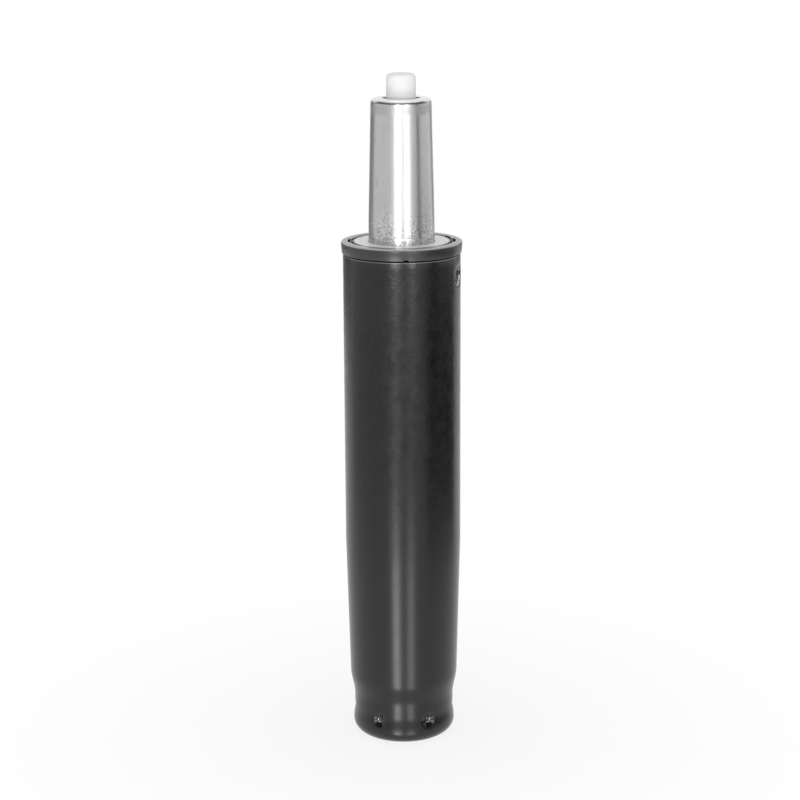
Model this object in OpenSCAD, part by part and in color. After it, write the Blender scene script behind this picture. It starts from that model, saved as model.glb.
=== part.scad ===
// Chair gas lift cylinder, standing on its foot with the seat at its lowest.
// Millimetres. The origin is the middle of the foot, +Z is up and -Y is the front.
// Diameters end in _d, radii in _r, heights above the floor in _z.

/* [Column] */
// Height of the column from the floor to the top of its collar
column_h = 220; // [200:1:300]
// Outer diameter of the straight part of the column
column_d = 50; // [49.5:0.1:52]
// Wall of the column's steel tube
column_wall = 2; // [1.7:0.1:2.2]
// Length of the lower taper, which wedges in a chair base
taper_len = 59.8; // [50:0.1:65]
// Height of the lower taper's small end
taper_end_z = 29; // [26:0.5:32]
// Length over which a taper's diameter changes by one
taper_ratio = 19.922; // [18:0.001:22]
// Radial step from the taper's small end in to the neck
neck_step = 1.75; // [1.5:0.05:2]
// Height at which the neck begins
neck_z = 12.5; // [12:0.5:13.5]
// Straight length of the neck
neck_len = 4; // [2:0.5:5]
// Radial swell from the neck out to the foot's bulge
foot_swell = 0.55; // [0.3:0.05:0.8]
// Radius of the foot's rolled edge
foot_r = 5.4; // [5:0.1:5.8]
// Width of the flat rim on which the column stands
foot_lip = 1.4; // [1:0.1:2]
// Height of the bevel on the column's top edge
column_edge = 0.7; // [0.3:0.1:1]

/* [Punched marks] */
// Number of crimps that lock the base cup in the foot
crimp_count = 6; // [4:1:8]
// Height of the crimps
crimp_z = 10.4; // [10:0.1:11]
// Width of the soft dish round a crimp
crimp_dish_d = 7.4; // [6:0.1:8]
// Depth of the dish
crimp_dish = 0.8; // [0.5:0.1:1]
// Width of the pit punched in the dish
crimp_pit_d = 3; // [2.6:0.1:3.2]
// Depth of the pit's floor below the neck's surface
crimp_pit = 2.4; // [2:0.1:2.6]
// Metal left round a punched pit
crimp_skin = 1.2; // [1:0.1:1.4]
// Gap between the two side dents and the collar's skirt above them
dent_drop = 1.2; // [1.2:0.1:3]
// Width of a side dent
dent_w = 7.4; // [6:0.1:7.6]
// Length of a side dent
dent_len = 8.6; // [7.8:0.1:10]
// Depth of a side dent
dent_depth = 1.7; // [1:0.1:1.8]
// Turn of the right-hand dent from the front
dent_turn = 75; // [60:1:90]

/* [Collar] */
// How far the collar stands out from the column
collar_proud = 0.75; // [0.5:0.05:2]
// How much narrower the collar's band is at its lower edge
collar_draft = 0.3; // [0.1:0.05:0.4]
// Height of the collar's band above the column's edge
collar_h = 5; // [4:0.1:6]
// Radius of the collar's outer top edge
collar_edge_r = 1.3; // [0.8:0.1:1.6]
// Depth of the skirt that the collar pushes into the column
collar_skirt = 3.5; // [3:0.5:4]
// Wall of that skirt
skirt_wall = 1; // [0.8:0.1:1.2]
// Length of the key slots along the seam
key_len = 9.5; // [6:0.5:10]
// Width of the key slots across the seam
key_w = 2; // [1.6:0.1:2.2]
// Depth of the key slots
key_depth = 2.8; // [1.5:0.1:3]
// Length of the latch that stands in a key slot
latch_len = 4; // [3:0.5:5]
// Thickness of that latch
latch_t = 0.6; // [0.5:0.1:0.8]
// Turn of the third, smaller key slot from the front
key_turn = 117; // [105:1:125]
// Width of the small pry notch under the collar's front
notch_w = 1.6; // [1:0.1:2]
// Height of that notch
notch_h = 0.5; // [0.3:0.1:0.8]
// Turn of that notch from the front
notch_turn = 4; // [0:1:10]

/* [Guide bushing] */
// Length of the bushing that guides the pressure tube
bushing_len = 84; // [75:1:100]
// Wall of the bushing's inner sleeve
sleeve_wall = 2.4; // [2:0.1:3]
// Number of ribs on the sleeve
rib_count = 12; // [8:1:16]
// Thickness of a rib
rib_t = 1.6; // [1.2:0.1:2]
// Height of the rings that centre the bushing in the column
ring_h = 3; // [2:0.5:4]
// Number of those rings
ring_count = 3; // [2:1:5]
// Sink of the bushing's head below the collar's top
head_sink = 0.2; // [0.1:0.1:1]
// Width of the seam groove round the bushing's head
seam_w = 1; // [0.5:0.1:1.4]
// Depth of the seam groove
seam_depth = 1.2; // [0.8:0.1:1.5]
// Number of tabs that bridge the seam groove
seam_tabs = 8; // [4:1:12]
// Width of a tab
seam_tab_w = 6; // [4:0.1:7]

/* [Gas spring] */
// Travel between the lowest and the highest seat
stroke = 110; // [80:1:115]
// Outer diameter of the pressure tube
tube_d = 28; // [27.6:0.1:28.4]
// Wall of the pressure tube
tube_wall = 1.5; // [1.3:0.1:1.6]
// Length of the upper taper, on which a seat mechanism sits
tube_taper_len = 51.8; // [45:0.1:55]
// Height of the tube above the collar with the seat at its lowest
tube_rise = 60; // [50:1:80]
// Radius of the tube's rolled edges
tube_edge_r = 2.2; // [1.9:0.1:2.4]
// Radial gap round the button in the tube's mouth
mouth_gap = 1.9; // [1.5:0.1:2.2]
// Width of the lip rolled in at the tube's lower end
tube_foot_lip = 3; // [2.5:0.1:3.5]
// Radial gap for the gas between the inner tube and the pressure tube
annulus = 1.2; // [1:0.1:1.4]
// Wall of the inner tube
inner_tube_wall = 1; // [0.8:0.1:1.2]
// Diameter of the piston rod
rod_d = 10; // [9.6:0.1:10.4]
// Diameter of the rod's lower pin
pin_d = 8; // [7.6:0.1:8.4]
// Diameter of the rod's upper stud, which holds the piston
stud_d = 7; // [6.5:0.1:7.5]
// Length of the piston
piston_len = 14; // [12:0.5:16]
// Length of the guide in the tube's lower end
rod_guide_len = 18; // [16:0.5:20]
// Thickness of the seal round the rod
rod_seal_h = 6; // [5:0.5:8]
// Thickness of the ring that backs the rod seal
backing_t = 2; // [1.5:0.1:3]
// Length of the rod guide's spigot, on which the inner tube stands
spigot_len = 6; // [5:0.5:8]
// Height of the nut on the stud
nut_h = 5; // [4:0.5:6]
// Distance across the nut's flats
nut_flats = 12; // [11:0.5:13]

/* [Release valve] */
// Length of the valve body
valve_len = 33; // [32:0.5:34]
// Depth of the valve body's top below the tube's top
valve_drop = 8.5; // [8:0.1:9]
// Height of the valve body's spigot, which closes the inner tube
valve_spigot = 8; // [7.5:0.5:9]
// Height of the shoulder above that spigot
valve_shoulder = 4; // [3:0.5:4.5]
// Diameter of the cross hole that lets the gas out of the chamber
cross_hole_d = 2; // [1.5:0.1:2.2]
// Thickness of the ring that seals the valve body in the pressure tube
upper_ring_d = 2.1; // [1.8:0.1:2.4]
// Thickness of the ring that seals the valve body in the inner tube
lower_ring_d = 1.7; // [1.4:0.1:1.8]
// Thickness of the two rings round the release pin
pin_ring_d = 1.8; // [1.5:0.1:1.9]
// Diameter of the release pin
release_d = 6; // [5.6:0.1:6.2]
// Depth of the waist in the release pin
release_waist = 0.9; // [0.7:0.1:1.2]
// Diameter of the release button
button_d = 12.4; // [12:0.1:13]
// Height of the button above the tube's top
button_rise = 10; // [8:0.5:12]
// Radius of the button's edge
button_edge_r = 2; // [1:0.1:3]
// Travel of the button
button_travel = 4; // [3:0.1:4.2]

/* [Foot bearing] */
// Sheet of the base cup
cup_wall = 2; // [1.8:0.1:2.2]
// Width of the trough between the base cup's rim and its raised middle
cup_trough = 3.65; // [3.2:0.05:4]
// Height of the raised middle above the floor
cup_crown_z = 9.2; // [9:0.1:10]
// Diameter of the bearing balls
ball_d = 3.2; // [3:0.1:3.4]
// Number of bearing balls
ball_count = 9; // [6:1:10]
// Thickness of a bearing race
race_t = 1.7; // [1.5:0.1:2]
// Width of a race on each side of the balls
race_land = 1.1; // [1:0.05:1.3]
// Thickness of the ball cage
cage_t = 1.6; // [1.2:0.1:1.8]
// Diameter of the rubber bumper
bumper_d = 23; // [22:0.1:24]
// Height of the rubber bumper
bumper_h = 13; // [10:0.5:16]
// Sheet of the bumper's seat
seat_t = 1.2; // [1:0.1:1.4]
// Thickness of the washer under the base cup
washer_t = 1.2; // [1:0.1:1.3]
// Width of that washer's rim round the rod's pin
washer_rim = 3.4; // [3:0.1:4]
// Thickness of the retaining clip
clip_t = 1.2; // [1:0.1:1.3]
// Width of the clip round the rod's pin
clip_rim = 3; // [2.5:0.1:3.4]
// Depth of the clip's groove in the rod's pin
clip_groove = 0.9; // [0.7:0.1:1.1]
// Length of the rod's pin below the clip
rod_tail = 1.9; // [1.5:0.1:2.2]

/* [Fits] */
// Radial running fit of a tube or a rod in its guide
run_fit = 0.1; // [0.06:0.01:0.1]
// Radial gap between fixed pieces that push together
push_fit = 0.1; // [0.05:0.01:0.15]
// Axial gap between pieces that turn or slide past each other
end_gap = 0.3; // [0.2:0.05:0.4]
// Radial gap round a piece that turns without touching
free_gap = 0.3; // [0.25:0.05:0.4]
// Play of a ball in its groove and its cage
ball_play = 0.15; // [0.1:0.01:0.2]

/* [Hidden] */
$fn = 64;
through = 1;

// Column, from the floor up
column_top_z = column_h - collar_h;
taper_top_z = taper_end_z + taper_len;
taper_end_r = (column_d - taper_len / taper_ratio) / 2;
neck_r = taper_end_r - neck_step;
foot_out_r = neck_r + foot_swell;
foot_hole_r = foot_out_r - foot_r - foot_lip;
bore_r = column_d / 2 - column_wall;
foot_steps = 8;
neck_steps = 5;
shoulder_steps = 9;
skirt_z = column_top_z - collar_skirt;
dent_z = skirt_z - dent_drop - dent_len / 2;

// Base cup, caught between the rolled foot and the crimps
cup_r = neck_r - column_wall - push_fit;
cup_crown_r = cup_r - cup_wall - cup_trough;
cup_corner_r = foot_r - column_wall - push_fit * 3;
dish_ball_r = dish_r(crimp_dish_d, crimp_dish);
dish_ball_x = neck_r - crimp_dish + dish_ball_r;
dish_reach = sqrt(pow(dish_ball_r + column_wall, 2) - pow(dish_ball_x - cup_r, 2));
cup_rim_z = crimp_z - dish_reach - push_fit;
cup_hole_r = pin_d / 2 + free_gap;

// Thrust bearing on the base cup
lower_race_z = cup_crown_z;
groove_depth = ball_d / 8;
ball_z = lower_race_z + race_t - groove_depth + ball_play + ball_d / 2;
upper_race_z = ball_z + ball_d / 2 + ball_play - groove_depth;
rod_shoulder_z = upper_race_z + race_t;
race_groove_r = ball_d / 2 + ball_play;
ball_ring_r = cup_hole_r + race_land + ball_d / 2;
race_r = ball_ring_r + ball_d / 2 + race_land;

// Bumper on the upper race
bumper_z = rod_shoulder_z + seat_t;
bumper_top_z = bumper_z + bumper_h;
seat_rim_h = 3;
bumper_waist = 1.6;

// Rod end below the base cup
washer_z = cup_crown_z - cup_wall - end_gap - washer_t;
clip_z = washer_z - clip_t;
washer_r = pin_d / 2 + washer_rim;
clip_r = pin_d / 2 + clip_rim;
clip_arm = clip_groove * 2 - push_fit;
rod_end_z = clip_z - rod_tail;
rod_chamfer = 0.8;

// Pressure tube, with the guide and seal in its lower end
tube_z = bumper_top_z + end_gap;
tube_top_z = column_h + tube_rise;
tube_bore_r = tube_d / 2 - tube_wall;
tube_taper_z = tube_top_z - tube_taper_len;
tube_mouth_r = button_d / 2 + mouth_gap;
tube_foot_r = tube_bore_r - tube_foot_lip;
seal_bore_r = rod_d / 2 + run_fit / 2;
backing_z = tube_z + tube_wall;
rod_seal_z = backing_z + backing_t;
guide_z = rod_seal_z + rod_seal_h;
guide_top_z = guide_z + rod_guide_len;
inner_tube_z = guide_top_z - spigot_len;
inner_tube_r = tube_bore_r - annulus;
inner_bore_r = inner_tube_r - inner_tube_wall;

// Piston on the rod, just clear of the guide when the seat is at its highest
piston_z = guide_top_z + stroke + end_gap;
piston_top_z = piston_z + piston_len;
stud_end = 1.5;
piston_groove_h = 2.4;
piston_groove = 1.6;

// Release valve, hung from the tube's top
valve_top_z = tube_top_z - valve_drop;
valve_z = valve_top_z - valve_len;
valve_web = 2;
shoulder_z = valve_z + valve_spigot;
shoulder_top_z = shoulder_z + valve_shoulder;
cross_hole_z = shoulder_top_z + cross_hole_d / 2 + push_fit;
chamber_z = shoulder_z - valve_web;
chamber_top_z = cross_hole_z + cross_hole_d / 2 + push_fit;
release_r = release_d / 2;
chamber_r = release_r + release_waist + push_fit;
upper_ring_z = (chamber_top_z + valve_top_z) / 2;
upper_ring_r = tube_r_at(upper_ring_z) - tube_wall - push_fit / 2 - upper_ring_d / 2;
lower_ring_z = valve_z + valve_spigot / 2;
lower_ring_r = inner_bore_r - push_fit / 2 - lower_ring_d / 2;
pin_ring_upper_z = valve_top_z - 2 * pin_ring_d;
pin_ring_lower_z = valve_z + valve_web + pin_ring_d / 2;
release_head_r = release_r + pin_ring_d;
release_head_h = 3.2;
waist_r = release_r - release_waist;
waist_z = pin_ring_lower_z + button_travel / 2;
waist_top_z = chamber_top_z;
button_top_z = tube_top_z + button_rise;
button_spare = 1;
button_z = valve_top_z + button_travel + button_spare;
button_crown = 3.5;
stem_r = release_r - 0.6;
stem_top_z = button_top_z - button_crown;

// Guide bushing, hung in the collar
bushing_top_z = column_h - head_sink;
bushing_z = bushing_top_z - bushing_len;
bushing_bore_r = tube_d / 2 + run_fit;
sleeve_r = bushing_bore_r + sleeve_wall;
bushing_ring_r = bore_r - push_fit;
skirt_bore_r = bushing_ring_r - skirt_wall;
head_r = skirt_bore_r - push_fit;
lock_margin = 2;
lock_ring_z = dent_z - dent_len / 2 - lock_margin;
mouth_chamfer = 0.4;

// Points on a round stretch, from angle a0 to angle a1
function arc(x, z, r, a0, a1, steps) =
    [for (i = [0 : steps]) let (a = a0 + (a1 - a0) * i / steps) [x + r * cos(a), z + r * sin(a)]];

// Points on a smooth S from one radius and height to another, without its first point
function ease(r0, z0, r1, z1, steps) =
    [for (i = [1 : steps]) let (t = i / steps) [r0 + (r1 - r0) * (1 - cos(180 * t)) / 2, z0 + (z1 - z0) * t]];

function reversed(list) = [for (i = [len(list) - 1 : -1 : 0]) list[i]];

// Radius of the ball that leaves a dish of this width and depth
function dish_r(width, depth) = (pow(width / 2, 2) + pow(depth, 2)) / (2 * depth);

// Radius of the pressure tube's outside on its upper taper
function tube_r_at(z) = (tube_d - max(0, z - tube_taper_z) / taper_ratio) / 2;

// One side of the column's wall, set in from the outside, from the foot to the top edge
function column_side(inset, soft = 0) = concat(
    arc(foot_out_r - foot_r, foot_r, foot_r - inset, -90, 0, foot_steps),
    ease(foot_out_r - inset, foot_r, neck_r - inset, neck_z, neck_steps),
    [[neck_r - inset, neck_z + neck_len]],
    ease(neck_r - inset, neck_z + neck_len, taper_end_r - inset, taper_end_z, shoulder_steps),
    [[column_d / 2 - inset, taper_top_z], [column_d / 2 - inset, column_top_z - soft]]
);

// A revolved ring with square edges
module ring(r_in, r_out, z, h) {
    translate([0, 0, z])
        difference() {
            cylinder(r = r_out, h = h);
            translate([0, 0, -through]) cylinder(r = r_in, h = h + 2 * through);
        }
}

// A ring of round section, such as an O-ring or the path of the bearing balls
module torus(ring_r, section_r, z) {
    translate([0, 0, z]) rotate_extrude() translate([ring_r, 0]) circle(r = section_r);
}

module around(count, first = 0) {
    for (i = [0 : count - 1]) rotate([0, 0, first + i * 360 / count]) children();
}

// Punch of one crimp, facing the front. The wall that it pushes in is a larger copy of it.
module crimp_dish_punch(grow) {
    translate([0, -dish_ball_x, crimp_z]) sphere(r = dish_ball_r + grow);
}

module crimp_pit_punch(grow) {
    translate([0, -(neck_r - crimp_pit + crimp_pit_d / 2), crimp_z]) {
        sphere(r = crimp_pit_d / 2 + grow);
        rotate([90, 0, 0]) cylinder(r = crimp_pit_d / 2 + grow, h = crimp_pit_d);
    }
}

// Upright punch of one side dent, facing the front
module dent_punch(grow) {
    r = dish_r(dent_w, dent_depth);
    half = dent_len / 2 - dent_w / 2;
    translate([0, -(column_d / 2 - dent_depth + r), dent_z]) {
        translate([0, 0, -half]) cylinder(r = r + grow, h = 2 * half);
        for (end = [-half, half]) translate([0, 0, end]) sphere(r = r + grow);
    }
}

module both_dents() {
    for (turn = [dent_turn, dent_turn + 180]) rotate([0, 0, turn]) children();
}

// Space inside a cylinder on the column's axis
module core(r, z, h) {
    translate([0, 0, z]) cylinder(r = r, h = h);
}

// Steel tube with a tapered lower end, a drawn neck and a rolled-in foot
module column_tube() {
    first_crimp = 180 / crimp_count;
    color([0.12, 0.12, 0.13])
        difference() {
            union() {
                rotate_extrude()
                    polygon(concat([[foot_hole_r, 0]], column_side(0, column_edge),
                        [[column_d / 2 - column_edge / 2, column_top_z]],
                        reversed(column_side(column_wall)), [[foot_hole_r, column_wall]]));
                around(crimp_count, first_crimp)
                    intersection() {
                        union() {
                            crimp_dish_punch(column_wall);
                            crimp_pit_punch(crimp_skin);
                        }
                        core(neck_r - column_wall / 2, crimp_z - neck_z / 2, neck_z);
                    }
                both_dents()
                    intersection() {
                        dent_punch(column_wall);
                        core(column_d / 2 - column_wall / 2, dent_z - dent_len, 2 * dent_len);
                    }
            }
            around(crimp_count, first_crimp) {
                crimp_dish_punch(0);
                crimp_pit_punch(0);
            }
            both_dents() dent_punch(0);
        }
}

// Plastic ring that caps the column, with a skirt pushed into it
module top_collar() {
    lip = 0.4;
    collar_r = column_d / 2 + collar_proud;
    color([0.3, 0.3, 0.31])
        difference() {
            rotate_extrude()
                polygon(concat(
                    [[skirt_bore_r, skirt_z], [bushing_ring_r, skirt_z], [bushing_ring_r, column_top_z],
                     [collar_r - collar_draft - lip, column_top_z],
                     [collar_r - collar_draft, column_top_z + lip]],
                    arc(collar_r - collar_edge_r, column_h - collar_edge_r, collar_edge_r, 0, 90, 6),
                    [[skirt_bore_r + lip, column_h], [skirt_bore_r, column_h - lip]]));
            key_slots();
            rotate([0, 0, notch_turn])
                translate([-notch_w / 2, -collar_r - through, column_top_z - through])
                    cube([notch_w, collar_proud * 2 + through, notch_h + through]);
        }
}

// Curved slots in the seam between the collar and the bushing
module key_slots() {
    for (turn = [-90, 90])
        rotate([0, 0, turn]) key_slot(key_len, key_w);
    rotate([0, 0, key_turn]) key_slot(key_len / 2, key_w * 0.75);
}

module key_slot(length, width) {
    intersection() {
        ring(skirt_bore_r - width / 2, skirt_bore_r + width / 2, column_h - key_depth, key_depth + through);
        translate([-length / 2, -column_d / 2, 0]) cube([length, column_d / 2, column_h + through]);
    }
}

// Latches of the bushing, one in each long key slot
module latches() {
    for (turn = [-90, 90])
        rotate([0, 0, turn])
            intersection() {
                ring(head_r - latch_t, head_r, column_h - key_depth, key_depth - head_sink);
                translate([-latch_len / 2, -column_d / 2, 0]) cube([latch_len, column_d / 2, column_h]);
            }
}

// Moulded sleeve that guides the pressure tube, stiffened by ribs and rings
module guide_bushing() {
    color([0.62, 0.62, 0.6])
        difference() {
            union() {
                core(sleeve_r, bushing_z, bushing_len);
                core(head_r, lock_ring_z, bushing_top_z - lock_ring_z);
                core(bushing_ring_r, lock_ring_z, skirt_z - push_fit - lock_ring_z);
                for (i = [0 : ring_count - 1])
                    core(bushing_ring_r, bushing_z + i * (lock_ring_z - bushing_z) / ring_count, ring_h);
                around(rib_count)
                    translate([-rib_t / 2, -bushing_ring_r + push_fit, bushing_z])
                        cube([rib_t, bushing_ring_r - sleeve_r + sleeve_wall / 2, lock_ring_z - bushing_z]);
            }
            translate([0, 0, bushing_z - through])
                cylinder(r = bushing_bore_r, h = bushing_len + 2 * through);
            translate([0, 0, bushing_z - push_fit])
                cylinder(r1 = bushing_bore_r + mouth_chamfer, r2 = bushing_bore_r, h = mouth_chamfer);
            translate([0, 0, bushing_top_z - mouth_chamfer + push_fit])
                cylinder(r1 = bushing_bore_r, r2 = bushing_bore_r + mouth_chamfer, h = mouth_chamfer);
            both_dents() dent_punch(column_wall + push_fit * 2);
            difference() {
                union() {
                    key_slots();
                    seam_groove();
                }
                latches();
            }
        }
}

// Groove round the bushing's head, bridged by tabs that centre it in the collar
module seam_groove() {
    difference() {
        ring(head_r - seam_w, head_r + through, bushing_top_z - seam_depth, seam_depth + through);
        around(seam_tabs)
            translate([-seam_tab_w / 2, -head_r - 2 * through, bushing_top_z - seam_depth - through])
                cube([seam_tab_w, 4 * through, seam_depth + 3 * through]);
    }
}

// Pressed cup that closes the foot and carries the bearing
module base_cup() {
    trough_r = cup_r - cup_wall;
    color([0.55, 0.55, 0.56])
        rotate_extrude()
            polygon(concat(
                [[cup_hole_r, cup_crown_z - cup_wall], [cup_crown_r - cup_wall, cup_crown_z - cup_wall],
                 [cup_crown_r - cup_wall, column_wall]],
                arc(cup_r - cup_corner_r, column_wall + cup_corner_r, cup_corner_r, -90, 0, 6),
                [[cup_r, cup_rim_z], [trough_r, cup_rim_z], [trough_r, column_wall + cup_wall],
                 [cup_crown_r, column_wall + cup_wall], [cup_crown_r, cup_crown_z],
                 [cup_hole_r, cup_crown_z]]));
}

module ball_track() {
    torus(ball_ring_r, race_groove_r, ball_z);
}

module bearing_lower_race() {
    color("lightgray")
        difference() {
            ring(cup_hole_r, race_r, lower_race_z, race_t);
            ball_track();
        }
}

module bearing_upper_race() {
    color("lightgray")
        difference() {
            ring(pin_d / 2 + push_fit, race_r, upper_race_z, race_t);
            ball_track();
        }
}

module bearing_cage() {
    color("goldenrod")
        difference() {
            ring(cup_hole_r + free_gap, race_r - free_gap, ball_z - cage_t / 2, cage_t);
            around(ball_count) translate([0, ball_ring_r, ball_z]) sphere(r = race_groove_r);
        }
}

module bearing_balls() {
    color("silver")
        around(ball_count) translate([0, ball_ring_r, ball_z]) sphere(d = ball_d);
}

// Pressed dish that holds the bumper on the upper race
module bumper_seat() {
    seat_r = bumper_d / 2 + push_fit + seat_t;
    color([0.5, 0.5, 0.52])
        difference() {
            core(seat_r, rod_shoulder_z, seat_t + seat_rim_h);
            core(bumper_d / 2 + push_fit, bumper_z, seat_rim_h + through);
            core(rod_d / 2 + push_fit, rod_shoulder_z - through, bumper_h);
        }
}

// Rubber stop that cushions the tube's last millimetres of travel
module rubber_bumper() {
    bore = rod_d / 2 + push_fit;
    edge = 1;
    color([0.08, 0.08, 0.08])
        rotate_extrude()
            difference() {
                polygon([[bore, bumper_z], [bumper_d / 2, bumper_z], [bumper_d / 2, bumper_top_z - edge],
                    [bumper_d / 2 - edge, bumper_top_z], [bore, bumper_top_z]]);
                translate([bumper_d / 2 + bumper_waist / 2, (bumper_z + seat_rim_h + bumper_top_z) / 2])
                    circle(r = bumper_waist * 1.5);
            }
}

// Hardened rod with a pin for the bearing below and a stud for the piston above
module piston_rod() {
    stud_top_z = piston_top_z + nut_h + stud_end;
    groove_z = clip_z - push_fit;
    groove_top_z = clip_z + clip_t + push_fit;
    color("silver")
        rotate_extrude()
            polygon([
                [0, rod_end_z], [pin_d / 2 - rod_chamfer, rod_end_z], [pin_d / 2, rod_end_z + rod_chamfer],
                [pin_d / 2, groove_z], [pin_d / 2 - clip_groove, groove_z],
                [pin_d / 2 - clip_groove, groove_top_z], [pin_d / 2, groove_top_z],
                [pin_d / 2, rod_shoulder_z], [rod_d / 2, rod_shoulder_z],
                [rod_d / 2, piston_z], [stud_d / 2, piston_z],
                [stud_d / 2, stud_top_z - rod_chamfer], [stud_d / 2 - rod_chamfer, stud_top_z],
                [0, stud_top_z]
            ]);
}

// Piston with a groove for its seal
module piston() {
    piston_r = inner_bore_r - run_fit;
    color([0.7, 0.68, 0.6])
        difference() {
            ring(stud_d / 2 + push_fit, piston_r, piston_z, piston_len);
            ring(piston_r - piston_groove, piston_r + through,
                piston_z + (piston_len - piston_groove_h) / 2, piston_groove_h);
        }
}

module piston_seal() {
    color([0.1, 0.1, 0.1])
        ring(inner_bore_r - run_fit - piston_groove + push_fit, inner_bore_r - run_fit / 2,
            piston_z + (piston_len - piston_groove_h) / 2 + push_fit, piston_groove_h - 2 * push_fit);
}

module piston_nut() {
    corner_ratio = 2 / sqrt(3);
    color("gray")
        translate([0, 0, piston_top_z])
            difference() {
                cylinder(d = nut_flats * corner_ratio, h = nut_h, $fn = 6);
                translate([0, 0, -through]) cylinder(r = stud_d / 2 + push_fit, h = nut_h + 2 * through);
            }
}

module rod_washer() {
    color("lightgray") ring(pin_d / 2 + push_fit, washer_r, washer_z, washer_t);
}

// Spring clip pushed sideways into the groove at the rod's lower end
module retaining_clip() {
    grip_r = pin_d / 2 - clip_groove + push_fit;
    color([0.35, 0.35, 0.36])
        translate([0, 0, clip_z])
            linear_extrude(clip_t)
                difference() {
                    circle(r = clip_r);
                    circle(r = grip_r);
                    translate([-grip_r, -clip_r - through]) square([2 * grip_r, clip_r + through]);
                    for (side = [-1, 1])
                        translate([side * (grip_r + clip_arm), clip_arm]) circle(r = clip_arm);
                }
}

// Steel tube that carries the seat, tapered at its top and rolled in at both ends
module pressure_tube() {
    edge = tube_edge_r;
    inner_edge = tube_edge_r - tube_wall;
    top_r = tube_r_at(tube_top_z - edge);
    color([0.78, 0.78, 0.79])
        rotate_extrude()
            polygon(concat(
                [[tube_foot_r, tube_z]],
                arc(tube_d / 2 - edge, tube_z + edge, edge, -90, 0, 6),
                [[tube_d / 2, tube_taper_z]],
                arc(top_r - edge, tube_top_z - edge, edge, 0, 90, 6),
                [[tube_mouth_r, tube_top_z], [tube_mouth_r, tube_top_z - tube_wall]],
                arc(top_r - edge, tube_top_z - edge, inner_edge, 90, 0, 3),
                [[tube_bore_r, tube_taper_z]],
                arc(tube_d / 2 - edge, tube_z + edge, inner_edge, 0, -90, 3),
                [[tube_foot_r, tube_z + tube_wall]]));
}

module inner_tube() {
    color([0.66, 0.66, 0.68])
        ring(inner_bore_r, inner_tube_r, inner_tube_z, shoulder_z - inner_tube_z);
}

module seal_backing_ring() {
    color("gray")
        ring(rod_d / 2 + free_gap, tube_bore_r - tube_edge_r / 2, backing_z, backing_t);
}

// Lipped seal round the rod
module rod_seal() {
    lip = 1.4;
    color([0.1, 0.1, 0.12])
        difference() {
            ring(seal_bore_r, tube_bore_r - push_fit, rod_seal_z, rod_seal_h);
            ring(rod_d / 2 + lip, tube_bore_r - 2 * lip, guide_z - rod_seal_h / 2, rod_seal_h);
        }
}

// Guide for the rod, with a spigot for the inner tube and channels for the gas
module rod_guide() {
    channel_w = 3;
    channel_count = 4;
    guide_r = tube_bore_r - push_fit;
    color([0.75, 0.72, 0.62])
        difference() {
            union() {
                core(guide_r, guide_z, inner_tube_z - guide_z);
                core(inner_bore_r - push_fit, guide_z, rod_guide_len);
            }
            core(rod_d / 2 + run_fit / 2, guide_z - through, rod_guide_len + 2 * through);
            around(channel_count)
                translate([-channel_w / 2, -guide_r - through, inner_tube_z - channel_w])
                    cube([channel_w, guide_r + through - inner_bore_r + push_fit, channel_w + through]);
        }
}

// Valve body with a bore for the release pin, a gas chamber and grooves for four rings
module valve_body() {
    body_r = tube_r_at(valve_top_z) - tube_wall - push_fit * 2;
    shoulder_r = tube_r_at(shoulder_top_z) - tube_wall - push_fit;
    spigot_r = inner_bore_r - push_fit;
    pin_bore_r = release_r + run_fit / 2;
    channel_w = 3;
    color([0.8, 0.68, 0.4])
        difference() {
            union() {
                core(body_r, shoulder_z, valve_top_z - shoulder_z);
                core(shoulder_r, shoulder_z, valve_shoulder);
                core(spigot_r, valve_z, shoulder_z - valve_z);
            }
            core(pin_bore_r, valve_z - through, valve_len + 2 * through);
            core(chamber_r, chamber_z, chamber_top_z - chamber_z);
            rotate([0, 90, 0])
                translate([-cross_hole_z, 0, -body_r - through])
                    cylinder(d = cross_hole_d, h = 2 * (body_r + through));
            around(4, 45)
                translate([-channel_w / 2, -shoulder_r - through, shoulder_z - through])
                    cube([channel_w, shoulder_r + through - body_r, valve_shoulder + 2 * through]);
            valve_groove(upper_ring_r, upper_ring_z, upper_ring_d);
            valve_groove(lower_ring_r, lower_ring_z, lower_ring_d);
            for (z = [pin_ring_upper_z, pin_ring_lower_z])
                core(pin_bore_r + pin_ring_d + push_fit, z - pin_ring_d / 2 - push_fit,
                    pin_ring_d + 2 * push_fit);
        }
}

// Square groove for a ring on the outside of the valve body
module valve_groove(ring_r, z, section_d) {
    ring(ring_r - section_d / 2 - push_fit, ring_r + section_d,
        z - section_d / 2 - push_fit, section_d + 2 * push_fit);
}

module valve_o_ring_upper() {
    color([0.1, 0.1, 0.1]) torus(upper_ring_r, upper_ring_d / 2, upper_ring_z);
}

module valve_o_ring_lower() {
    color([0.1, 0.1, 0.1]) torus(lower_ring_r, lower_ring_d / 2, lower_ring_z);
}

module pin_ring(z) {
    inner_r = release_r + run_fit / 2;
    color([0.1, 0.1, 0.1]) torus(inner_r + pin_ring_d / 2, pin_ring_d / 2, z);
}

module pin_seal_upper() {
    pin_ring(pin_ring_upper_z);
}

module pin_seal_lower() {
    pin_ring(pin_ring_lower_z);
}

// Sleeve between the valve body and the tube's rolled top
module valve_spacer() {
    spacer_wall = 1.4;
    spacer_r = tube_r_at(tube_top_z - tube_edge_r) - tube_edge_r - push_fit;
    color([0.6, 0.6, 0.6])
        ring(spacer_r - spacer_wall, spacer_r, valve_top_z, valve_drop - tube_wall);
}

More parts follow.
